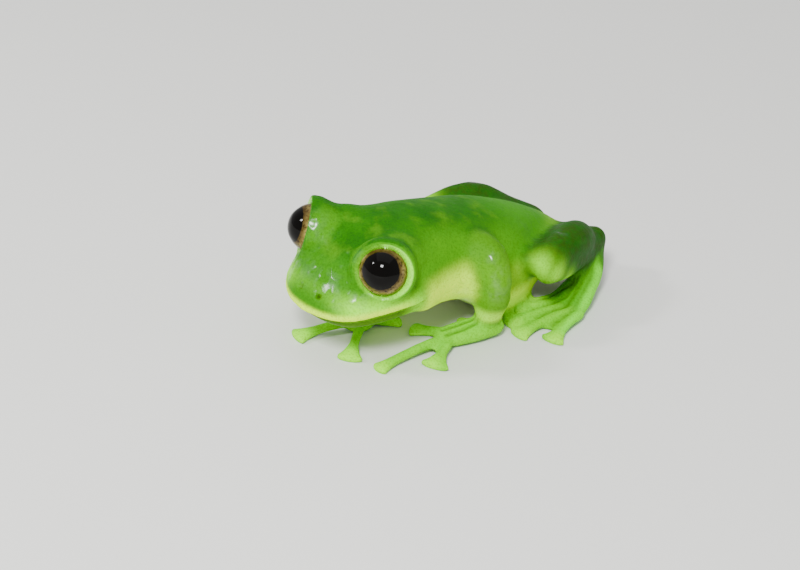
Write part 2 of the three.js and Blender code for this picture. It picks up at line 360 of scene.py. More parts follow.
class NodePad:
    """Adds and links the nodes of one material."""

    def __init__(self, name: str) -> None:
        """Starts an empty material with an output and a Principled shader.

        Args:
            name: The material's name.
        """
        self.material = bpy.data.materials.new(name)
        self.material.use_nodes = True
        self.tree = self.material.node_tree
        self.shader = self.tree.nodes["Principled BSDF"]

    def add(self, kind: str, **settings: object) -> bpy.types.Node:
        """Adds a node and sets its fields.

        Args:
            kind: The node's type.
            settings: Values of the node's fields.

        Returns:
            The node.
        """
        node = self.tree.nodes.new(kind)
        for name, value in settings.items():
            setattr(node, name, value)
        return node

    def feed(self, target: bpy.types.NodeSocket, value: object) -> None:
        """Gives an input its value.

        Args:
            target: The input.
            value: A number, a colour or another node's output.
        """
        if isinstance(value, bpy.types.NodeSocket):
            self.tree.links.new(value, target)
        else:
            target.default_value = value

    def attribute(self, name: str) -> bpy.types.NodeSocket:
        """Reads a number stored on the mesh."""
        return self.add("ShaderNodeAttribute", attribute_name=name).outputs["Fac"]

    def place(self) -> bpy.types.NodeSocket:
        """Reads the place on the piece, in metres."""
        return self.add("ShaderNodeTexCoord").outputs["Object"]

    def math(self, operation: str, a: object, b: object = 0.0) -> bpy.types.NodeSocket:
        """Works out one sum.

        Args:
            operation: The sum's kind.
            a: Its first term, a number or an output.
            b: Its second term.

        Returns:
            The result.
        """
        node = self.add("ShaderNodeMath", operation=operation)
        self.feed(node.inputs[0], a)
        self.feed(node.inputs[1], b)
        return node.outputs[0]

    def vector(self, operation: str, result: str, a: object, b: object) -> bpy.types.NodeSocket:
        """Works out one sum of vectors.

        Args:
            operation: The sum's kind.
            result: The output wanted, Vector or Value.
            a: Its first term.
            b: Its second term.

        Returns:
            The result.
        """
        node = self.add("ShaderNodeVectorMath", operation=operation)
        self.feed(node.inputs[0], a)
        self.feed(node.inputs[1], b)
        return node.outputs[result]

    def fade(self, value: object, change: Fade) -> bpy.types.NodeSocket:
        """Turns a value into a share from 0 to 1.

        Args:
            value: A number or an output.
            change: Where the share leaves 0 and reaches 1.

        Returns:
            The share.
        """
        node = self.add("ShaderNodeMapRange", interpolation_type="SMOOTHSTEP")
        self.feed(node.inputs["Value"], value)
        node.inputs["From Min"].default_value = change.start
        node.inputs["From Max"].default_value = change.end
        return node.outputs["Result"]

    def mix(self, share: object, a: object, b: object) -> bpy.types.NodeSocket:
        """Mixes two colours.

        Args:
            share: How much of the second is taken.
            a: The first colour.
            b: The second colour.

        Returns:
            The mixed colour.
        """
        node = self.add("ShaderNodeMix", data_type="RGBA")
        self.feed(node.inputs["Factor"], share)
        self.feed(node.inputs["A"], a)
        self.feed(node.inputs["B"], b)
        return node.outputs["Result"]

    def tint(self, colour: object, strength: object) -> bpy.types.NodeSocket:
        """Brightens or darkens a colour.

        Args:
            colour: The colour.
            strength: The factor.

        Returns:
            The changed colour.
        """
        node = self.add("ShaderNodeVectorMath", operation="SCALE")
        self.feed(node.inputs[0], colour)
        self.feed(node.inputs["Scale"], strength)
        return node.outputs["Vector"]

    def noise(self, size: float, ragged: float = 2.0) -> bpy.types.NodeSocket:
        """Makes a soft cloudy pattern.

        Args:
            size: About how wide its clouds are, in mm.
            ragged: How many finer clouds are laid over them.

        Returns:
            A number from 0 to 1, mostly near the middle.
        """
        node = self.add("ShaderNodeTexNoise")
        self.feed(node.inputs["Vector"], self.place())
        node.inputs["Scale"].default_value = 1 / (size * MM)
        node.inputs["Detail"].default_value = ragged
        return node.outputs["Fac"]

    def blotches(self, pattern: Blotches) -> bpy.types.NodeSocket:
        """Makes blotches, 1 inside and 0 outside."""
        return self.fade(self.noise(pattern.size, pattern.ragged), pattern.taken)

    def grains(self, size: float) -> bpy.types.NodeSocket:
        """Makes a pattern of round grains.

        Args:
            size: About how wide they are, in mm.

        Returns:
            A number that is 0 in the middle of each grain and grows outwards.
        """
        node = self.add("ShaderNodeTexVoronoi", feature="SMOOTH_F1")
        self.feed(node.inputs["Vector"], self.place())
        node.inputs["Scale"].default_value = 1 / (size * MM)
        return node.outputs["Distance"]

    def bump(self, height: object, depth: float, below: object = None) -> bpy.types.NodeSocket:
        """Turns a pattern into relief.

        Args:
            height: The pattern, from 0 to 1.
            depth: How deep the relief is, in mm.
            below: Another relief that this one lies on.

        Returns:
            The direction of the surface.
        """
        node = self.add("ShaderNodeBump")
        self.feed(node.inputs["Height"], height)
        node.inputs["Distance"].default_value = depth * MM
        node.inputs["Strength"].default_value = 1.0
        if below is not None:
            self.feed(node.inputs["Normal"], below)
        return node.outputs["Normal"]

    def set(self, **values: object) -> None:
        """Sets the shader's own sockets, their spaces written as underscores."""
        for name, value in values.items():
            self.feed(self.shader.inputs[name.replace("_", " ")], value)


@dataclass(frozen=True)
class SkinFinish:
    """Moist, faintly see-through skin, green above and pale below."""

    back: Shade = Shade(34, 103, 0)
    back_deep: Shade = Shade(24, 89, 0)
    speck: Shade = Shade(80, 138, 0)
    side: Shade = Shade(68, 140, 0)
    rump: Shade = Shade(56, 134, 0)
    snout: Shade = Shade(50, 118, 0)
    cheek: Shade = Shade(150, 240, 0)
    flank: Shade = Shade(206, 255, 10)
    belly: Shade = Shade(214, 230, 158)
    lip: Shade = Shade(206, 255, 0)
    # Painted shade: the lower jaw's green is darkened to stand for the shadow under the upper lip
    jaw: Shade = Shade(70, 116, 4)
    # Painted shade: near black, laid along the mouth's crease and into the nostril pits
    mouth: Shade = Shade(26, 36, 4)
    lid: Shade = Shade(150, 250, 30)
    arm: Shade = Shade(84, 146, 0)
    wrist: Shade = Shade(176, 240, 36)
    # Partly painted shade: the legs' own translucent green, darkened to stand for the shade they
    # lie in
    leg: Shade = Shade(22, 78, 0)
    leg_brown: Shade = Shade(42, 64, 0)
    # Painted shade: a darker green in the hollows between the long bones of the feet and hands
    groove: Shade = Shade(60, 118, 0)
    # Painted light: pale patches where the knees and the fronts of the shanks catch the light
    knee: Shade = Shade(140, 222, 8)
    sole: Shade = Shade(74, 158, 0)
    sole_edge: Shade = Shade(116, 232, 18)
    digit: Shade = Shade(116, 202, 0)
    pad_tip: Shade = Shade(146, 228, 16)
    # The colours that lie over the back's, each over the ones before it
    layers: tuple[str, ...] = (
        "side", "rump", "snout", "arm", "flank", "cheek", "sole", "leg", "leg_brown", "knee",
        "digit", "groove", "sole_edge", "pad_tip", "wrist", "jaw", "belly", "lip", "lid",
    )
    deep_blotches: Blotches = Blotches(2.6, 3.0, Fade(0.38, 0.66))
    specks: Blotches = Blotches(1.5, 3.0, Fade(0.5, 0.74))
    speck_strength: float = 0.55
    mottling: Blotches = Blotches(0.5, 4.0, Fade(0.4, 0.62))
    grain: float = 0.13  # mm
    grain_edge: Fade = Fade(0.1, 0.55)
    grain_dark: float = 0.86  # the tint in the middle of a grain
    grain_gain: float = 0.24  # how much lighter the tint is between grains
    grain_relief: float = 0.018  # mm
    wrinkle: float = 0.55  # mm
    wrinkle_ragged: float = 3.0
    wrinkle_relief: float = 0.05  # mm
    glow: float = 0.22
    glow_depth: float = 0.7  # mm
    glow_colour: tuple[float, float, float] = (0.9, 1.0, 0.3)
    index: float = 1.38  # of refraction
    sheen: float = 0.12
    roughness: float = 0.48
    roughness_play: float = 0.2
    roughness_patch: float = 0.4  # mm
    film_breaks: Blotches = Blotches(0.7, 3.0, Fade(0.42, 0.56))
    film_roughness: float = 0.24
    film_gloss: float = 1.6  # the film's index of refraction
    film_relief: float = 0.22  # mm
    bead: float = 0.6  # mm

    def material(self) -> bpy.types.Material:
        """Builds the material from the numbers that the skin carries at each point.

        Returns:
            The material.
        """
        pad = NodePad("moist_skin")
        pad.set(Base_Color=self._colour(pad))
        pad.set(Subsurface_Weight=self.glow, Subsurface_Scale=self.glow_depth * MM)
        pad.set(Subsurface_Radius=self.glow_colour, IOR=self.index, Specular_IOR_Level=self.sheen)
        play = pad.math("MULTIPLY", pad.noise(self.roughness_patch), self.roughness_play)
        pad.set(Roughness=pad.math("ADD", self.roughness, play))
        fine = pad.bump(pad.grains(self.grain), self.grain_relief)
        wrinkles = pad.noise(self.wrinkle, self.wrinkle_ragged)
        pad.set(Normal=pad.bump(wrinkles, self.wrinkle_relief, fine))
        film = pad.math("MULTIPLY", pad.attribute("wet"), pad.blotches(self.film_breaks))
        beads = pad.math("POWER", pad.grains(self.bead), 2.0)
        pad.set(Coat_Weight=film, Coat_Roughness=self.film_roughness, Coat_IOR=self.film_gloss)
        pad.set(Coat_Normal=pad.bump(beads, self.film_relief))
        return pad.material

    def _colour(self, pad: NodePad) -> bpy.types.NodeSocket:
        """Lays every colour over the back's.

        Args:
            pad: The material's nodes.

        Returns:
            The colour of the skin.
        """
        deep = pad.blotches(self.deep_blotches)
        colour = pad.mix(deep, self.back.linear(), self.back_deep.linear())
        specks = pad.math("MULTIPLY", pad.blotches(self.specks), self.speck_strength)
        colour = pad.mix(specks, colour, self.speck.linear())
        for name in self.layers:
            share = pad.attribute(name)
            if name == "leg_brown":
                share = pad.math("MULTIPLY", share, pad.blotches(self.mottling))
            colour = pad.mix(share, colour, getattr(self, name).linear())
        between = pad.fade(pad.grains(self.grain), self.grain_edge)
        lighter = pad.math("MULTIPLY", between, self.grain_gain)
        colour = pad.tint(colour, pad.math("ADD", self.grain_dark, lighter))
        # Painted shade darkens the mouth's crease and the nostril pits
        return pad.mix(pad.attribute("mouth"), colour, self.mouth.linear())


@dataclass(frozen=True)
class EyeFinish:
    """A wet eye: round black pupil, tawny iris netted with brown, and a pale white.

    The places of the rings count in mm from the eye's own axis.
    """

    pupil: Shade = Shade(3, 2, 1)
    iris: Shade = Shade(120, 104, 46)
    iris_pale: Shade = Shade(156, 138, 78)
    net: Shade = Shade(44, 28, 6)
    rim: Shade = Shade(84, 74, 26)
    white: Shade = Shade(200, 206, 176)
    pupil_edge: Fade = Fade(1.185, 1.135)
    pupil_halo: Fade = Fade(1.38, 1.2)
    halo_strength: float = 0.75
    iris_edge: Fade = Fade(1.42, 1.52)
    wander: float = 0.12  # mm by which the rings stray from a circle
    wander_size: float = 0.5  # mm
    pale_clouds: Blotches = Blotches(0.7, 2.0, Fade(0.4, 0.7))
    streaks: Blotches = Blotches(0.22, 4.0, Fade(0.38, 0.66))
    netting: float = 0.1  # mm
    netting_edge: Fade = Fade(0.1, 0.6)
    # Painted shade: the iris darkens towards the upper lid, as under the lid's shadow
    lid_shade: Fade = Fade(0.75, 1.45)  # mm over the middle of the eye
    lid_shade_strength: float = 0.6
    white_from: Fade = Fade(0.0, -0.4)  # mm along the axis, behind the middle of the eye
    roughness: float = 0.04
    index: float = 1.36  # of refraction
    gloss: float = 0.22

    def material(self, name: str, centre: Vector, axis: Vector) -> bpy.types.Material:
        """Builds the eye's material round its own axis.

        Args:
            name: The material's name.
            centre: The middle of the eye, in metres.
            axis: Where the eye looks.

        Returns:
            The material.
        """
        pad = NodePad(name)
        offset = pad.vector("SUBTRACT", "Vector", pad.place(), tuple(centre))
        along = pad.vector("DOT_PRODUCT", "Value", offset, tuple(axis))
        radius = self._from_axis(pad, offset, along)
        net = self.net.linear()
        clouds = pad.blotches(self.pale_clouds)
        colour = pad.mix(clouds, self.iris.linear(), self.iris_pale.linear())
        netting = pad.fade(pad.grains(self.netting), self.netting_edge)
        colour = pad.mix(pad.math("MULTIPLY", netting, pad.blotches(self.streaks)), colour, net)
        halo = pad.math("MULTIPLY", pad.fade(radius, self.pupil_halo), self.halo_strength)
        colour = pad.mix(halo, colour, net)
        colour = pad.mix(pad.fade(radius, self.iris_edge), colour, self.rim.linear())
        # Painted shade of the upper lid over the top of the iris
        height = pad.vector("DOT_PRODUCT", "Value", offset, (0, 0, 1))
        shaded = pad.fade(height, self.lid_shade.scaled(MM))
        colour = pad.mix(pad.math("MULTIPLY", shaded, self.lid_shade_strength), colour, net)
        colour = pad.mix(pad.fade(radius, self.pupil_edge), colour, self.pupil.linear())
        behind = pad.fade(along, self.white_from.scaled(MM))
        colour = pad.mix(behind, colour, self.white.linear())
        pad.set(Base_Color=colour, Roughness=self.roughness)
        pad.set(IOR=self.index, Specular_IOR_Level=self.gloss)
        return pad.material

    def _from_axis(self, pad: NodePad, offset: object, along: object) -> bpy.types.NodeSocket:
        """Measures how far a place lies from the eye's axis.

        Args:
            pad: The material's nodes.
            offset: The place from the middle of the eye, in metres.
            along: How much of that lies along the axis.

        Returns:
            The distance in mm, straying a little.
        """
        reach = pad.vector("LENGTH", "Value", offset, (0, 0, 0))
        square = pad.math("SUBTRACT", pad.math("POWER", reach, 2.0), pad.math("POWER", along, 2.0))
        radius = pad.math("DIVIDE", pad.math("SQRT", pad.math("MAXIMUM", square, 0.0)), MM)
        stray = pad.math("SUBTRACT", pad.noise(self.wander_size), 0.5)
        return pad.math("ADD", radius, pad.math("MULTIPLY", stray, self.wander))


@dataclass(frozen=True)
class FloorFinish:
    """A plain pale floor."""

    tone: Shade = Shade(226, 226, 222)
    tone_deep: Shade = Shade(220, 220, 216)
    cloud: float = 30.0  # mm
    roughness: float = 0.9

    def material(self) -> bpy.types.Material:
        """Builds the floor's material.

        Returns:
            The material.
        """
        pad = NodePad("studio_floor")
        soft = pad.mix(pad.noise(self.cloud), self.tone.linear(), self.tone_deep.linear())
        pad.set(Base_Color=soft, Roughness=self.roughness)
        return pad.material


@dataclass
class Eye:
    """One eye: a wet ball, set where the frame has it.

    Args:
        side: The side that it is on.
    """

    side: Side
    finish: EyeFinish = EyeFinish()
    opening: tuple[float, float, float] = (0.62, -0.7, 0.18)  # the lids' way, on the left side
    turns: int = 64  # faces round the ball
    cornea: float = 0.045  # mm by which the clear front stands out
    cornea_edge: Fade = Fade(0.72, 0.97)

    @property
    def node(self) -> str:
        """Names the frame's node for this eye."""
        return f"eye_{self.side.name.lower()}"

    @property
    def centre(self) -> Vector:
        """Gives the middle of the eye, in metres."""
        low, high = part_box(self.node)
        return (low + high) / 2

    @property
    def radius(self) -> float:
        """Gives the eye's radius, in metres."""
        low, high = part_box(self.node)
        return (high.z - low.z) / 2

    @property
    def axis(self) -> Vector:
        """Gives the direction in which the eye looks."""
        return Vector(GAZE[self.side]).normalized()

    @property
    def lid_axis(self) -> Vector:
        """Gives the direction towards which the lids open."""
        x, y, z = self.opening
        return Vector((x * self.side.value, y, z)).normalized()

    def measure(self, points: np.ndarray) -> tuple[np.ndarray, np.ndarray, np.ndarray]:
        """Measures points from the middle of the eye.

        Args:
            points: The frame's points, in mm.

        Returns:
            Each point's offset, its distance, and how far it lies ahead towards the lids' opening.
        """
        offset = points - np.array(self.centre) / MM
        return offset, np.linalg.norm(offset, axis=1), offset @ np.array(self.lid_axis)

    def build(self) -> bpy.types.Object:
        """Models the ball, dresses it and sets it on the frame.

        Returns:
            The eyeball.
        """
        deselect()
        turn = Vector((0, 0, 1)).rotation_difference(self.axis).to_euler()
        bpy.ops.mesh.primitive_uv_sphere_add(
            segments=self.turns, ring_count=self.turns // 2,
            radius=self.radius, location=self.centre, rotation=turn,
        )
        ball = bpy.context.object
        ball.name = f"eyeball_{self.side.name.lower()}"
        bpy.ops.object.transform_apply(location=True, rotation=True, scale=True)
        self._raise_cornea(ball)
        bpy.ops.object.shade_smooth()
        ball.data.materials.clear()
        ball.data.materials.append(self.finish.material(f"wet_{self.node}", self.centre, self.axis))
        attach(ball, "root")
        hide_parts(self.node)
        return ball

    def _raise_cornea(self, ball: bpy.types.Object) -> None:
        """Swells the front of the ball, where the clear window over the iris lies.

        Args:
            ball: The eyeball, in metres.
        """
        outward = (points_of(ball) - np.array(self.centre)) / self.radius
        rise = self.cornea_edge.of(outward @ np.array(self.axis)) * self.cornea * MM
        push_points(ball, outward, rise)


@dataclass
class Flesh:
    """The frame's nodes that the skin stands for: all but the eyes."""

    names: list[str] = field(init=False)
    owners: list[str] = field(init=False)  # the region of each corner of the nodes
    tree: KDTree = field(init=False)  # the same corners, sorted by their places

    def __post_init__(self) -> None:
        """Lists the nodes and sorts their corners, so that the nearest is found fast."""
        self.names = sorted(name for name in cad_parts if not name.startswith("eye_"))
        clouds = [points_of(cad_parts[name]) for name in self.names]
        self.owners = [
            region_of(name).value for name, cloud in zip(self.names, clouds) for _ in cloud
        ]
        self.tree = KDTree(len(self.owners))
        for index, corner in enumerate(np.vstack(clouds)):
            self.tree.insert(corner, index)
        self.tree.balance()

    def regions(self, points: np.ndarray) -> np.ndarray:
        """Names the region whose node is nearest to each of the frame's points, given in mm."""
        return np.array([self.owners[self.tree.find(point)[1]] for point in points * MM])

    def copy(self) -> bpy.types.Object:
        """Copies the nodes into one mesh.

        Returns:
            The mesh, in metres.
        """
        deselect()
        for name in self.names:
            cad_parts[name].select_set(True)
        bpy.context.view_layer.objects.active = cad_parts["torso"]
        bpy.ops.object.duplicate()
        for piece in list(bpy.context.selected_objects):
            world = piece.matrix_world.copy()
            piece.parent = None
            piece.matrix_world = world
            for key in list(piece.keys()):
                del piece[key]
        bpy.ops.object.join()
        return bpy.context.object

    def digit_tips(self) -> list[np.ndarray]:
        """Finds the end of each finger and toe that is farther from its hand or foot.

        Returns:
            One of the frame's points for each, in mm.
        """
        tips = []
        for name in self.names:
            if not name.startswith(("finger", "toe")):
                continue
            palm = ("hand_" if name.startswith("finger") else "foot_") + name.split("_")[1]
            low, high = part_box(palm)
            cloud = points_of(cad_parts[name])
            away = np.linalg.norm(cloud - np.array((low + high) / 2), axis=1)
            tips.append(cloud[away.argmax()] / MM)
        return tips


@dataclass
class Lids:
    """The soft rims of skin round both eyes.

    Args:
        eyes: The eyes on which they close.
    """

    eyes: list[Eye]
    ring: float = 1.8  # mm, from the eye's axis to the middle of the rim
    thickness: float = 0.3  # mm
    height: float = 0.42  # mm ahead of the eye's middle
    ring_steps: int = 64
    rim_steps: int = 12
    overlap: float = 0.02  # mm by which the rim's edge dips into the eyeball
    laid_reach: float = 0.3  # mm off the eyeball within which skin is laid on it
    laid_ahead: float = 0.25  # mm past the rim's height up to which skin is laid on it
    colour_radius: float = 1.79  # mm, from the eye's axis to the end of the pale ring
    colour_edge: Fade = Fade(0.06, -0.06)  # mm past that end
    colour_ahead: Fade = Fade(0.0, 0.35)  # mm ahead of the eye's middle
    colour_reach: float = 2.6  # mm from the eye's middle
    hind_way: tuple[float, float, float] = (0.6, 0.78, 0.1)  # to the broad end of the ring
    hind_widening: float = 0.1  # mm by which the ring is broader there
    strength: float = 0.84  # of the pale colour
    hind_strength: float = 0.16  # added at the broad end

    def rings(self) -> list[bpy.types.Object]:
        """Makes a soft ring round each eye.

        Returns:
            The rings, in mm.
        """
        rings = []
        for eye in self.eyes:
            deselect()
            bpy.ops.mesh.primitive_torus_add(
                location=eye.centre / MM + eye.lid_axis * self.height,
                rotation=Vector((0, 0, 1)).rotation_difference(eye.lid_axis).to_euler(),
                major_radius=self.ring, minor_radius=self.thickness,
                major_segments=self.ring_steps, minor_segments=self.rim_steps,
            )
            bpy.ops.object.transform_apply(location=True, rotation=True, scale=True)
            rings.append(bpy.context.object)
        return rings

    def near(self, points: np.ndarray, margin: float, least_ahead: float) -> np.ndarray:
        """Tells which points are at the lids.

        Args:
            points: The frame's points, in mm.
            margin: How far past the ring they may be, in mm.
            least_ahead: How far ahead of the eye's middle they must be, in mm.

        Returns:
            True or false per point.
        """
        chosen = np.zeros(len(points), dtype=bool)
        for eye in self.eyes:
            _, away, ahead = eye.measure(points)
            chosen |= (away < self.ring + margin) & (ahead > least_ahead)
        return chosen

    def close(self, skin: bpy.types.Object) -> None:
        """Lays the rims' edges on the eyeballs and rounds them into a margin.

        Args:
            skin: The skin, in mm.
        """
        points = points_of(skin)
        for eye in self.eyes:
            offset, away, ahead = eye.measure(points)
            radius = eye.radius / MM
            inside = (away < radius + self.laid_reach) & (ahead > 0.0)
            edge = inside & (ahead < self.height + self.laid_ahead)
            laid = np.where(edge, radius - self.overlap, away)
            closed = np.array(eye.centre) / MM + offset / away[:, None] * laid[:, None]
            points = np.where(inside[:, None], closed, points)
        set_points(skin, points)

    def colour(self, points: np.ndarray) -> np.ndarray:
        """Tells how much of the lids' pale colour points take.

        Args:
            points: The frame's points, in mm.

        Returns:
            One share per point.
        """
        share = np.zeros(len(points))
        for eye in self.eyes:
            offset, away, ahead = eye.measure(points)
            hind = offset @ (np.array(self.hind_way) * (eye.side.value, 1, 1)) / away
            out = np.sqrt(np.maximum(away**2 - ahead**2, 0.0))
            ring = self.colour_edge.of(out - self.colour_radius - self.hind_widening * hind)
            ring *= self.colour_ahead.of(ahead) * (away < self.colour_reach)
            share = np.maximum(share, ring * (self.strength + self.hind_strength * hind))
        return share


@dataclass(frozen=True)
class Mouth:
    """The long parting between the lips."""

    # From the snout to the mouth's corner, as drawn y and z
    line: Path = (
        (-15.0, 3.55), (-12.3, 3.55), (-11.6, 3.56), (-10.5, 3.82),
        (-9.0, 4.15), (-7.6, 4.4), (-6.2, 4.6),
    )
    parting: float = 0.15  # mm from the line to the middle of the gap
    lip: float = 0.5  # mm over and under the gap that count as lips
    eased_height: Fade = Fade(0.45, 0.25)
    eased_end: Fade = Fade(0.6, 0.0)
    eased_rounds: int = 12
    crease: float = 0.11  # mm, its width
    crease_depth: float = 0.18  # mm
    crease_end: Fade = Fade(0.3, -0.5)

    @property
    def corner(self) -> float:
        """Gives the drawn y of the mouth's corner."""
        return self.line[-1][0]

    def above(self, at: np.ndarray) -> np.ndarray:
        """Gives each drawn point's height over the middle of the gap, in mm."""
        ys, zs = zip(*self.line)
        return at[:, 2] - np.interp(at[:, 1], ys, zs) - self.parting

    def near(self, at: np.ndarray, past: float) -> np.ndarray:
        """Tells which drawn points are at the lips, up to some mm past the mouth's corner."""
        return (np.abs(self.above(at)) < self.lip) & (at[:, 1] < self.corner + past)

    def carve(self, skin: bpy.types.Object, drawing: Drawing) -> None:
        """Draws the mouth in as a thin closed crease.

        Args:
            skin: The skin, in mm.
            drawing: The drawing's place in the frame.
        """
        at = drawing.drawn(points_of(skin))
        outward = normals_of(skin)
        above = self.above(at)
        past = at[:, 1] - self.corner
        near = self.eased_height.of(np.abs(above)) * self.eased_end.of(past)
        ease_points(skin, near, self.eased_rounds)
        depth = self.crease_depth * bell(above, self.crease) * self.crease_end.of(past)
        push_points(skin, outward, -depth)


@dataclass(frozen=True)
class Throat:
    """The soft skin under the jaw and behind the mouth's corner."""

    under: Fade = Fade(-0.45, -0.8)  # mm over the mouth's gap
    beside: Fade = Fade(0.7, 0.3)  # mm over the mouth's gap
    past_corner: Fade = Fade(-0.1, 0.3)  # mm behind the mouth's corner
    front: Fade = Fade(-9.6, -7.6)  # drawn y, as the next
    back: Fade = Fade(-3.0, -4.4)
    off_floor: Fade = Fade(1.6, 2.2)  # drawn z
    rounds: int = 40
    passes: int = 2

    def share(self, at: np.ndarray, mouth: Mouth) -> np.ndarray:
        """Tells how surely points lie on the throat.

        Args:
            at: Drawn points, in mm.
            mouth: The mouth over it.

        Returns:
            One share per point.
        """
        y, z = at[:, 1], at[:, 2]
        above = mouth.above(at)
        behind = self.beside.of(above) * self.past_corner.of(y - mouth.corner)
        reach = self.front.of(y) * self.back.of(y)
        return np.maximum(self.under.of(above), behind) * reach * self.off_floor.of(z)


@dataclass(frozen=True)
class Nostrils:
    """Two small pits with soft rims."""

    place: tuple[float, float, float] = (0.9, -11.75, 5.1)
    way: tuple[float, float, float] = (0.55, -0.62, 0.56)
    reach: float = 1.2  # mm along the way that each one takes up
    beyond: float = 10.0  # mm, the distance given past the reach
    pit: float = 0.15  # mm, its width
    pit_depth: float = 0.34  # mm
    rim_radius: float = 0.3  # mm
    rim: float = 0.12  # mm, its width
    rim_height: float = 0.03  # mm

    def line(self, side: Side) -> np.ndarray:
        """Gives the direction in which a nostril opens."""
        way = np.array(self.way) * (side.value, 1, 1)
        return way / np.linalg.norm(way)

    def distance(self, at: np.ndarray, side: Side) -> np.ndarray:
        """Measures how far points are from the line down a nostril's middle.

        Args:
            at: Drawn points, in mm.
            side: The nostril's side.

        Returns:
            One distance per point, in mm.
        """
        line = self.line(side)
        offset = at - np.array(self.place) * (side.value, 1, 1)
        along = offset @ line
        away = np.linalg.norm(offset - along[:, None] * line, axis=1)
        return np.where(np.abs(along) < self.reach, away, self.beyond)

    def carve(self, skin: bpy.types.Object, drawing: Drawing) -> None:
        """Sinks both pits and raises their rims.

        Args:
            skin: The skin, in mm.
            drawing: The drawing's place in the frame.
        """
        at = drawing.drawn(points_of(skin))
        for side in Side:
            away = self.distance(at, side)
            rise = self.rim_height * bell(away - self.rim_radius, self.rim)
            push_points(skin, self.line(side), rise - self.pit_depth * bell(away, self.pit))


@dataclass(frozen=True)
class LongBones:
    """The long bones of the feet and hands, which show by the hollows between them."""

    # The hollows as drawn x and y: four in a foot, two in a palm and two between the fingers
    hollows: tuple[Path, ...] = (
        ((3.75, 10.3), (4.55, 7.7), (3.95, 5.8)), ((4.05, 10.1), (5.1, 6.75), (4.45, 4.55)),
        ((4.35, 10.0), (5.7, 6.25), (5.3, 3.8)), ((4.65, 9.9), (6.3, 6.35), (6.5, 4.05)),
        ((4.45, -0.4), (4.2, -2.0), (3.85, -3.1)), ((4.0, -0.6), (3.6, -2.0), (3.25, -2.9)),
        ((1.75, -4.9), (0.95, -6.9)), ((1.35, -5.1), (0.7, -6.1)),
    )
    width: float = 0.15  # mm
    depth: float = 0.13  # mm
    low: Fade = Fade(2.6, 1.9)  # drawn z
    facing_up: Fade = Fade(0.1, 0.5)  # how far the skin faces up

    def share(self, at: np.ndarray) -> np.ndarray:
        """Gives how near each drawn point lies to the bottom of a hollow."""
        away = np.min([distance_to_path(at, hollow) for hollow in self.hollows], axis=0)
        return bell(away, self.width) * self.low.of(at[:, 2])

    def carve(self, skin: bpy.types.Object, drawing: Drawing) -> None:
        """Hollows the upper side of each foot and hand.

        Args:
            skin: The skin, in mm.
            drawing: The drawing's place in the frame.
        """
        outward = normals_of(skin)
        share = self.share(drawing.drawn(points_of(skin)))
        push_points(skin, outward, -self.depth * share * self.facing_up.of(outward[:, 2]))


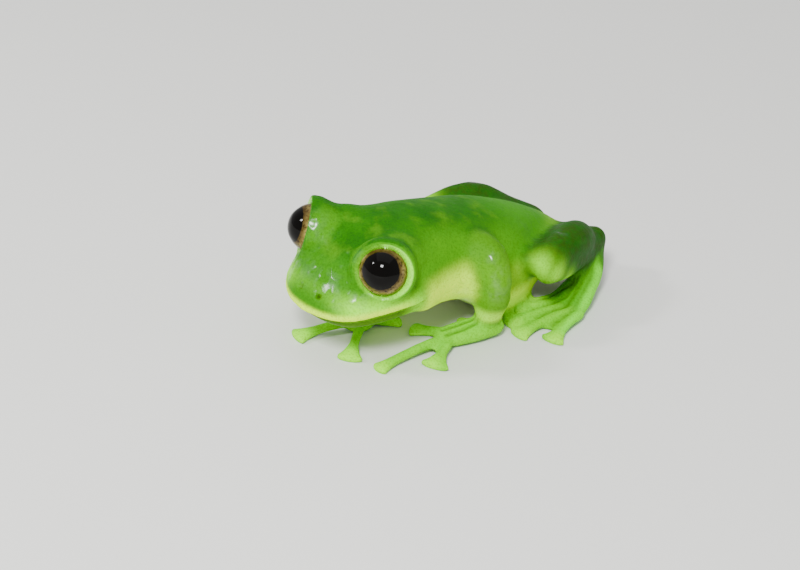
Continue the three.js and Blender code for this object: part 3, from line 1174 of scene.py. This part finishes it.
@dataclass
class FrogSkin:
    """One skin over the head, jaw, trunk and limbs.

    Args:
        drawing: The drawing's place in the frame.
        lids: The rims round the eyes.
    """

    drawing: Drawing
    lids: Lids
    flesh: Flesh = field(default_factory=Flesh)
    mouth: Mouth = Mouth()
    throat: Throat = Throat()
    nostrils: Nostrils = Nostrils()
    bones: LongBones = LongBones()
    finish: SkinFinish = SkinFinish()
    merge: float = 0.03  # mm within which corners of the solids count as one
    voxel: float = 0.136  # mm
    kept: float = 0.04  # mm by which the skin stays outside the solids' own faces
    first_rounds: int = 4  # of smoothing before the swelling is taken back
    swell_rounds: int = 12  # over which the regions' swellings run into each other
    shrink_steps: int = 3
    last_rounds: int = 2
    # Where the brows run into the crown: over drawn z and y, and over mm ahead of the eyes' middles
    crown_z: Fade = Fade(6.6, 7.6)
    crown_y: Fade = Fade(-3.0, -4.5)
    crown_ahead: Fade = Fade(0.0, -0.5)
    # The regions that are rounded all over
    broad: tuple[Region, ...] = (Region.TRUNK, Region.ARM, Region.LEG, Region.SOLE)
    broad_border: int = 10
    broad_rounds: int = 30
    # The points of the lips and lids that stand out from the rest, and how they are evened
    even_margin: float = 0.6  # mm past the mouth's corner and past the lids' ring
    even_ahead: float = 0.2  # mm ahead of the eye's middle
    even_sharp: Fade = Fade(0.013, 0.022)  # mm by which a point stands out
    even_near: int = 2
    even_border: int = 4
    even_gain: float = 4.0
    even_rounds: int = 14
    # The parts of the head that take a finer mesh
    fine_past: float = 0.4  # mm past the mouth's corner
    fine_nostril: float = 0.5  # mm
    fine_margin: float = 0.3  # mm past the lids' ring
    fine_ahead: float = 0.3  # mm ahead of the eye's middle

    def build(self) -> bpy.types.Object:
        """Models the skin, dresses it and sets it on the frame.

        Returns:
            The skin.
        """
        skin = self._start()
        self._fuse(skin)
        self._ease(skin)
        self._refine_head(skin)
        self.lids.close(skin)
        for form in (self.mouth, self.nostrils, self.bones):
            form.carve(skin, self.drawing)
        resize(skin, MM)
        bpy.ops.object.shade_smooth()
        SkinMarks(self).store(skin)
        skin.data.materials.clear()
        skin.data.materials.append(self.finish.material())
        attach(skin, "root")
        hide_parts(*self.flesh.names)
        return skin

    def _start(self) -> bpy.types.Object:
        """Copies the flesh into one clean mesh.

        Returns:
            The mesh, in mm.
        """
        skin = self.flesh.copy()
        skin.name = "frog_skin"
        skin.data.materials.clear()
        activate(skin)
        bpy.ops.object.mode_set(mode="EDIT")
        bpy.ops.mesh.select_all(action="SELECT")
        bpy.ops.mesh.remove_doubles(threshold=self.merge * MM)
        resize(skin, 1 / MM)
        return skin

    def _swelling(self, skin: bpy.types.Object, rounds: int) -> np.ndarray:
        """Gives how far each point swells, by the region that it lies in.

        Args:
            skin: The skin, in mm.
            rounds: How far the regions run into each other.

        Returns:
            One distance per point, in mm.
        """
        region = self.flesh.regions(points_of(skin))
        amount = np.zeros(len(region))
        for kind, value in SWELL.items():
            amount[region == kind.value] = value
        return spread(skin, amount, rounds)

    def _fuse(self, skin: bpy.types.Object) -> None:
        """Closes the gaps between the solids and makes one even mesh of them.

        Args:
            skin: The copy of the solids, in mm.
        """
        push_points(skin, normals_of(skin), self._swelling(skin, 0))
        rings = self.lids.rings()
        activate(skin)
        for ring in rings:
            ring.select_set(True)
        bpy.ops.object.join()
        apply_modifier(skin, "REMESH", mode="VOXEL", voxel_size=self.voxel)
        smooth(skin, self.first_rounds)
        back = self._swelling(skin, self.swell_rounds) - self.kept
        for _ in range(self.shrink_steps):
            push_points(skin, normals_of(skin), -back / self.shrink_steps)
            smooth(skin, 1)
        smooth(skin, self.last_rounds)

    def _ease(self, skin: bpy.types.Object) -> None:
        """Rounds the trunk, limbs, crown and throat; lips, lids and digits stay crisp.

        Args:
            skin: The skin, in mm.
        """
        points = points_of(skin)
        at = self.drawing.drawn(points)
        crown = self.crown_z.of(at[:, 2]) * self.crown_y.of(at[:, 1])
        for eye in self.lids.eyes:
            crown *= self.crown_ahead.of(eye.measure(points)[2])
        broad = np.isin(self.flesh.regions(points), [kind.value for kind in self.broad])
        share = np.maximum(crown, spread(skin, broad.astype(float), self.broad_border))
        ease_points(skin, share, self.broad_rounds)
        self._even_edges(skin)
        for _ in range(self.throat.passes):
            ease_points(skin, self.throat.share(at, self.mouth), self.throat.rounds)

    def _even_edges(self, skin: bpy.types.Object) -> None:
        """Flattens the few points of the lips and lids that stand out from the rest.

        Args:
            skin: The skin, in mm.
        """
        points = points_of(skin)
        edge = self.mouth.near(self.drawing.drawn(points), self.even_margin)
        edge |= self.lids.near(points, self.even_margin, self.even_ahead)
        stands_out = np.linalg.norm(points - averaged(skin, self.even_near), axis=1)
        sharp = spread(skin, self.even_sharp.of(stands_out) * edge, self.even_border)
        ease_points(skin, np.clip(self.even_gain * sharp, 0, 1), self.even_rounds)

    def _refine_head(self, skin: bpy.types.Object) -> None:
        """Gives the lips, lids and nostrils a finer mesh.

        Args:
            skin: The skin, in mm.
        """
        flat = np.zeros(len(skin.data.polygons) * 3)
        skin.data.polygons.foreach_get("center", flat)
        centres = flat.reshape(-1, 3)
        at = self.drawing.drawn(centres)
        chosen = self.mouth.near(at, self.fine_past)
        chosen |= self.lids.near(centres, self.fine_margin, self.fine_ahead)
        for side in Side:
            chosen |= self.nostrils.distance(at, side) < self.fine_nostril
        activate(skin)
        bpy.ops.object.mode_set(mode="EDIT")
        bpy.ops.mesh.select_all(action="DESELECT")
        bpy.ops.mesh.select_mode(type="FACE")
        bpy.ops.object.mode_set(mode="OBJECT")
        skin.data.polygons.foreach_set("select", chosen)
        bpy.ops.object.mode_set(mode="EDIT")
        bpy.ops.mesh.subdivide(number_cuts=1, smoothness=0.0)
        bpy.ops.mesh.select_all(action="SELECT")
        bpy.ops.mesh.quads_convert_to_tris()
        bpy.ops.object.mode_set(mode="OBJECT")
        smooth(skin, self.last_rounds)


@dataclass
class SkinMarks:
    """Where each colour of the skin lies.

    The fades are over drawn x, y or z in mm, or as their comments say. Shares run from 0 to 1.

    Args:
        frog: The skin and its parts.
    """

    frog: FrogSkin
    border_rounds: int = 14
    head_y: Fade = Fade(-5.4, -6.8)
    cheek_y: Fade = Fade(-12.0, -10.6)
    cheek_z: Fade = Fade(6.0, 4.7)
    snout_y: Fade = Fade(-8.8, -10.4)
    snout_z: Fade = Fade(7.6, 6.4)
    rump_y: Fade = Fade(1.5, 5.5)
    side_y: Fade = Fade(9.5, 6.0)
    side_facing: Fade = Fade(0.2, 0.8)  # over how far the skin faces sideways
    shoulder_y: Fade = Fade(0.8, -1.4)
    shoulder_z: Fade = Fade(6.5, 4.9)
    groin_y: Fade = Fade(0.5, 2.0)
    groin_z: Fade = Fade(5.2, 4.0)
    groin_strength: float = 0.2
    low_y: Fade = Fade(8.0, 4.0)
    low_z: Fade = Fade(3.2, 1.6)
    belly_z: Fade = Fade(3.6, 2.2)
    belly_facing: Fade = Fade(0.3, 0.9)  # over how far the skin faces down
    # Where the lower jaw takes its painted shade, under the mouth's gap
    jaw_y: Fade = Fade(-5.9, -8.0)
    jaw_top: Fade = Fade(0.0, -0.2)  # over the height above the mouth's gap, as the next two
    lip_foot: Fade = Fade(0.0, 0.06)
    lip_top: Fade = Fade(0.8, 0.4)
    lip_y: Fade = Fade(-6.7, -9.0)
    # The painted shade along the mouth's crease and in the nostril pits
    mouth_y: Fade = Fade(-6.0, -6.6)
    mouth_width: float = 0.085  # mm
    nostril_width: float = 0.12  # mm
    nostril_strength: float = 0.85
    arm_z: Fade = Fade(5.4, 7.2)
    arm_fading: float = 0.45  # how much of the arm's colour gives way to the back's at its top
    wrist_top: Fade = Fade(2.9, 2.0)
    wrist_foot: Fade = Fade(1.2, 1.8)
    pad_reach: Fade = Fade(1.3, 0.5)  # over the distance from a digit's tip
    heel: Patches = ((3.2, 11.5, 2.3, 1.5),)
    # How much of the legs' dark green each side takes, the left more; that green is partly painted
    # shade
    leg_left: float = 0.92
    leg_right: float = 0.8
    brown_strength: float = 0.55
    # Where the knees and the fronts of the shanks are painted pale as lit: painted light
    knee: Patches = ((5.5, 3.3, 4.6, 0.95), (6.1, 4.2, 4.1, 0.85), (5.7, 5.6, 3.1, 0.7))
    lit_knee_strength: float = 0.9
    foot_y: Fade = Fade(2.6, 3.6)
    # How strongly the hollows between the long bones take their painted shade
    groove_shade_strength: float = 0.75
    # The outer edge of a foot as drawn x and y
    foot_rim: Path = ((4.7, 10.4), (5.5, 9.25), (6.2, 7.5), (6.85, 6.1), (7.4, 4.7), (7.8, 3.7))
    rim_width: float = 0.38  # mm
    rim_strength: float = 0.9
    # The wettest places: snout, brow, under the eye, arm, chest, thigh and wrist
    moist: Patches = (
        (0.9, -11.1, 5.9, 0.8), (2.2, -11.1, 5.4, 0.75), (3.1, -10.5, 5.2, 0.7),
        (1.8, -9.7, 8.2, 0.8), (2.7, -9.5, 5.6, 0.5), (5.2, -1.2, 6.4, 0.6),
        (5.65, -1.15, 5.7, 0.6), (5.9, -1.1, 5.0, 0.6), (5.7, -1.0, 4.2, 0.6),
        (4.1, -2.5, 3.9, 0.7), (4.3, 6.4, 5.7, 0.4), (4.5, 0.2, 1.9, 0.6),
    )
    lid_wetness: float = 0.8

    def store(self, skin: bpy.types.Object) -> None:
        """Stores, at each point, how much of each colour it takes and how wet it is.

        Args:
            skin: The finished skin, in metres.
        """
        points = points_of(skin) / MM
        at = self.frog.drawing.drawn(points)
        region = self.frog.flesh.regions(points)
        part = {
            kind: spread(skin, (region == kind.value).astype(float), self.border_rounds)
            for kind in Region
        }
        marks = self._trunk(at, normals_of(skin), part) | self._limbs(points, at, part)
        marks["lid"] = self.frog.lids.colour(points)
        marks["wet"] = np.maximum(marks["lid"] * self.lid_wetness, depth_in_patches(at, self.moist))
        for name, values in marks.items():
            layer = skin.data.attributes.new(name, "FLOAT", "POINT")
            layer.data.foreach_set("value", values.astype(np.float32))

    def _trunk(
        self, at: np.ndarray, outward: np.ndarray, part: dict[Region, np.ndarray]
    ) -> dict[str, np.ndarray]:
        """Marks the head, jaw and trunk.

        Args:
            at: Drawn points, in mm.
            outward: The outward direction at each point.
            part: How much each point belongs to each region.

        Returns:
            One share per point, for each colour.
        """
        y, z = at[:, 1], at[:, 2]
        trunk = np.clip(part[Region.HEAD] + part[Region.TRUNK] + part[Region.JAW], 0, 1)
        head = self.head_y.of(y)
        shoulder = self.shoulder_z.of(z) * (1 - head) * self.shoulder_y.of(y)
        groin = self.groin_strength * self.groin_z.of(z) * self.groin_y.of(y)
        low = self.low_z.of(z) * self.low_y.of(y) * (1 - head)
        above = self.frog.mouth.above(at)
        # Painted shade along the mouth's crease and down the nostril pits
        mouth = bell(above, self.mouth_width) * self.mouth_y.of(y) * trunk
        for side in Side:
            pit = bell(self.frog.nostrils.distance(at, side), self.nostril_width)
            mouth = np.maximum(mouth, self.nostril_strength * pit)
        return {
            "side": self.side_facing.of(np.abs(outward[:, 0])) * self.side_y.of(y) * trunk,
            "rump": self.rump_y.of(y) * trunk,
            "snout": self.snout_z.of(z) * self.snout_y.of(y) * trunk,
            "flank": np.clip(shoulder + low + groin, 0, 1) * trunk,
            "cheek": self.cheek_z.of(z) * self.cheek_y.of(y) * head * trunk,
            # The lower jaw darkened as painted shade under the lip
            "jaw": part[Region.JAW] * self.jaw_top.of(above) * self.jaw_y.of(y),
            "belly": self.belly_facing.of(-outward[:, 2]) * self.belly_z.of(z) * trunk,
            "lip": self.lip_top.of(above) * self.lip_foot.of(above) * self.lip_y.of(y) * trunk,
            "mouth": mouth,
        }

    def _limbs(
        self, points: np.ndarray, at: np.ndarray, part: dict[Region, np.ndarray]
    ) -> dict[str, np.ndarray]:
        """Marks the arms, legs, hands and feet.

        Args:
            points: The frame's points, in mm.
            at: The same points as drawn.
            part: How much each point belongs to each region.

        Returns:
            One share per point, for each colour.
        """
        y, z = at[:, 1], at[:, 2]
        arm, sole, digit = part[Region.ARM], part[Region.SOLE], part[Region.DIGIT]
        tips = [np.linalg.norm(points - tip, axis=1) for tip in self.frog.flesh.digit_tips()]
        leg = np.maximum(part[Region.LEG], sole * depth_in_patches(at, self.heel))
        feet = (sole + digit) * self.foot_y.of(y)
        rim = bell(distance_to_path(at, self.foot_rim), self.rim_width)
        knee = depth_in_patches(at, self.knee) * self.lit_knee_strength
        return {
            "arm": arm * (1 - self.arm_fading * self.arm_z.of(z)),
            # The legs' dark green, partly painted shade
            "leg": leg * np.where(at[:, 0] > 0, self.leg_left, self.leg_right),
            "leg_brown": leg * self.brown_strength,
            # The knees painted pale as lit: painted light
            "knee": part[Region.LEG] * knee,
            "sole": sole,
            # The hollows between the long bones darkened as painted shade
            "groove": np.maximum(feet, digit) * self.frog.bones.share(at) * self.groove_shade_strength,
            "sole_edge": feet * rim * self.rim_strength,
            "digit": digit,
            "pad_tip": digit * self.pad_reach.of(np.min(tips, axis=0)),
            "wrist": np.maximum(arm, digit) * self.wrist_top.of(z) * self.wrist_foot.of(z),
        }


@dataclass(frozen=True)
class Lamp:
    """A square lamp that faces the frog.

    Args:
        name: Its name.
        offset: Its place from the middle of the frog, in mm, along three axes.
        width: Its side, in mm.
        power: Its power, in watts.
    """

    name: str
    offset: tuple[float, float, float]
    width: float
    power: float

    def hang(self, middle: Vector, axes: tuple[Vector, Vector, Vector]) -> None:
        """Hangs the lamp in the scene.

        Args:
            middle: The middle of the frog, in metres.
            axes: The three axes of the offset.
        """
        data = bpy.data.lights.new(self.name, "AREA")
        data.size = self.width * MM
        data.energy = self.power
        lamp = bpy.data.objects.new(self.name, data)
        bpy.context.scene.collection.objects.link(lamp)
        offset = sum((axis * step for axis, step in zip(axes, self.offset)), Vector())
        lamp.location = middle + offset * MM
        lamp.rotation_euler = offset.to_track_quat("Z", "Y").to_euler()


@dataclass
class Studio:
    """The floor, the soft light and the camera.

    Args:
        drawing: The drawing's place in the frame.
    """

    drawing: Drawing
    azimuth: float = 43.5  # degrees from straight ahead towards the frog's left
    elevation: float = 29.5
    roll: float = 5.8
    distance: float = 150.0  # mm
    nearest: float = 10.0  # mm, from which the camera sees
    pixels_per_mm: float = 15.1  # at the drawing's zero
    image_width: int = 800
    image_height: int = 570
    zero_pixel: tuple[float, float] = (439.0, 308.0)
    sensor: float = 36.0
    floor_size: float = 6.0  # metres
    floor_finish: FloorFinish = FloorFinish()
    frog_middle: float = 4.0  # mm over the drawing's zero
    # Lamps placed to the right of the view, up and towards the camera
    view_lamps: tuple[Lamp, ...] = (
        Lamp("key", (-26, 61, 205), 40, 0.6),
        Lamp("side", (-156, 110, 110), 26, 0.2),
    )
    # A lamp placed in the frame's own axes
    top_lamp: Lamp = Lamp("soft_top", (-60, 80, 420), 560, 0.7)
    glow: float = 0.66  # of the white all round

    def build(self) -> None:
        """Sets up the whole studio."""
        self._floor()
        self._camera()
        self._lights()

    def _axes(self) -> tuple[Vector, Vector, Vector]:
        """Gives the directions of the view.

        Returns:
            The view's right, up and backward directions.
        """
        a, e, r = (math.radians(v) for v in (self.azimuth, self.elevation, self.roll))
        back = Vector((math.sin(a) * math.cos(e), -math.cos(a) * math.cos(e), math.sin(e)))
        right = Vector((math.cos(a), math.sin(a), 0))
        up = back.cross(right)
        return right * math.cos(r) + up * math.sin(r), up * math.cos(r) - right * math.sin(r), back

    def _floor(self) -> None:
        """Lays a wide floor just at the soles."""
        deselect()
        bpy.ops.mesh.primitive_plane_add(size=self.floor_size, location=(0, 0, 0))
        floor = bpy.context.object
        floor.name = "floor"
        floor.data.materials.append(self.floor_finish.material())

    def _camera(self) -> None:
        """Puts the camera at the photograph's viewing angle, with the photograph's frame."""
        lens = bpy.data.cameras.new("camera")
        camera = bpy.data.objects.new("camera", lens)
        bpy.context.scene.collection.objects.link(camera)
        axes = self._axes()
        turn = camera.matrix_world.copy()
        for column, axis in enumerate(axes):
            for row in range(3):
                turn[row][column] = axis[row]
        turn.translation = self.drawing.place(0, 0, 0) + axes[2] * self.distance * MM
        camera.matrix_world = turn
        lens.sensor_width = self.sensor
        lens.lens = self.pixels_per_mm * self.distance / self.image_width * self.sensor
        lens.shift_x = -(self.zero_pixel[0] - self.image_width / 2) / self.image_width
        lens.shift_y = (self.zero_pixel[1] - self.image_height / 2) / self.image_width
        lens.clip_start = self.nearest * MM
        bpy.context.scene.camera = camera

    def _lights(self) -> None:
        """Hangs small lamps by the view, a wide soft one above and an even glow all round."""
        middle = self.drawing.place(0, 0, self.frog_middle)
        for lamp in self.view_lamps:
            lamp.hang(middle, self._axes())
        self.top_lamp.hang(middle, (Vector((1, 0, 0)), Vector((0, 1, 0)), Vector((0, 0, 1))))
        world = bpy.data.worlds.new("studio")
        world.use_nodes = True
        background = world.node_tree.nodes["Background"]
        background.inputs["Color"].default_value = (1.0, 1.0, 1.0, 1.0)
        background.inputs["Strength"].default_value = self.glow
        bpy.context.scene.world = world


def main() -> None:
    """Builds the frog piece by piece, in order."""
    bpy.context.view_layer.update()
    drawing = Drawing.from_frame()
    eyes = [Eye(side) for side in Side]
    skin = FrogSkin(drawing, Lids(eyes)).build()
    log.info("%s has %d points", skin.name, len(skin.data.vertices))
    for eye in eyes:
        ball = eye.build()
        log.info("%s has %d points", ball.name, len(ball.data.vertices))
    Studio(drawing).build()


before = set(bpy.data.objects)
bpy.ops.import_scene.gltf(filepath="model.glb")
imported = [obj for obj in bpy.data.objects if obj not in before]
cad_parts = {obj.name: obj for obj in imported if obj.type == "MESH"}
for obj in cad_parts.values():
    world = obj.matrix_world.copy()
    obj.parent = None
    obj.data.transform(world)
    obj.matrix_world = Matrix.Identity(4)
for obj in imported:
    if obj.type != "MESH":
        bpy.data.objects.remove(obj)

if __name__ == "__main__":
    logging.basicConfig(level=logging.INFO)
    main()
